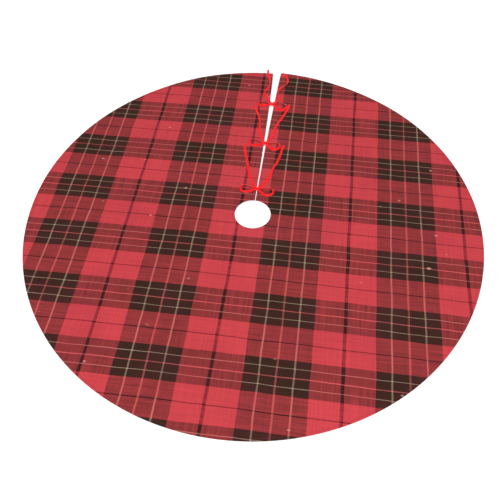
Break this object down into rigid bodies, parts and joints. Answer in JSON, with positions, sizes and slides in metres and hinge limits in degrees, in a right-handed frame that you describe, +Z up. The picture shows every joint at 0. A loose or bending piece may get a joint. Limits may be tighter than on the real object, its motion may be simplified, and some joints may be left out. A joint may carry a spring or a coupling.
{
  "type": "tree skirt",
  "caption": "Flat round tartan tree skirt with a centre trunk hole and a radial slit tied closed by satin ribbon bows; folds in half along the slit.",
  "frame": {"origin": "centre of the trunk hole, on the floor that the skirt lies on", "axes": "+Z up through the face, +Y from the trunk hole along the slit to its open end, +X to the right half"},
  "size_m": [1.2192, 1.2388, 0.0085],
  "materials": {
    "tartan_face": "matt woven cotton tartan, red with black bands and fine cream lines",
    "lining": "matt plain weave",
    "satin_ribbon": "satin, soft sheen",
    "sewing_thread": "spun polyester thread"
  },
  "bodies": {
    "left_half": {"lining_left": "lining", "face_panel_left": "tartan_face", "edge_stitching_left": "sewing_thread", "ribbon_tie_inner_left": "satin_ribbon", "ribbon_tie_middle_left": "satin_ribbon", "ribbon_tie_outer_left": "satin_ribbon", "bar_tack_inner_left": "sewing_thread", "bar_tack_middle_left": "sewing_thread", "bar_tack_outer_left": "sewing_thread"},
    "right_half": {"lining_right": "lining", "face_panel_right": "tartan_face", "edge_stitching_right": "sewing_thread", "ribbon_tie_inner_right": "satin_ribbon", "ribbon_tie_middle_right": "satin_ribbon", "ribbon_tie_outer_right": "satin_ribbon", "bar_tack_inner_right": "sewing_thread", "bar_tack_middle_right": "sewing_thread", "bar_tack_outer_right": "sewing_thread"}
  },
  "joints": [
    {"name": "centre_fold", "type": "hinge", "parent": "left_half", "child": "right_half", "pos_m": [0, 0, 0.0095], "axis": [0, -1, 0], "range_deg": [0, 179.5]}
  ]
}
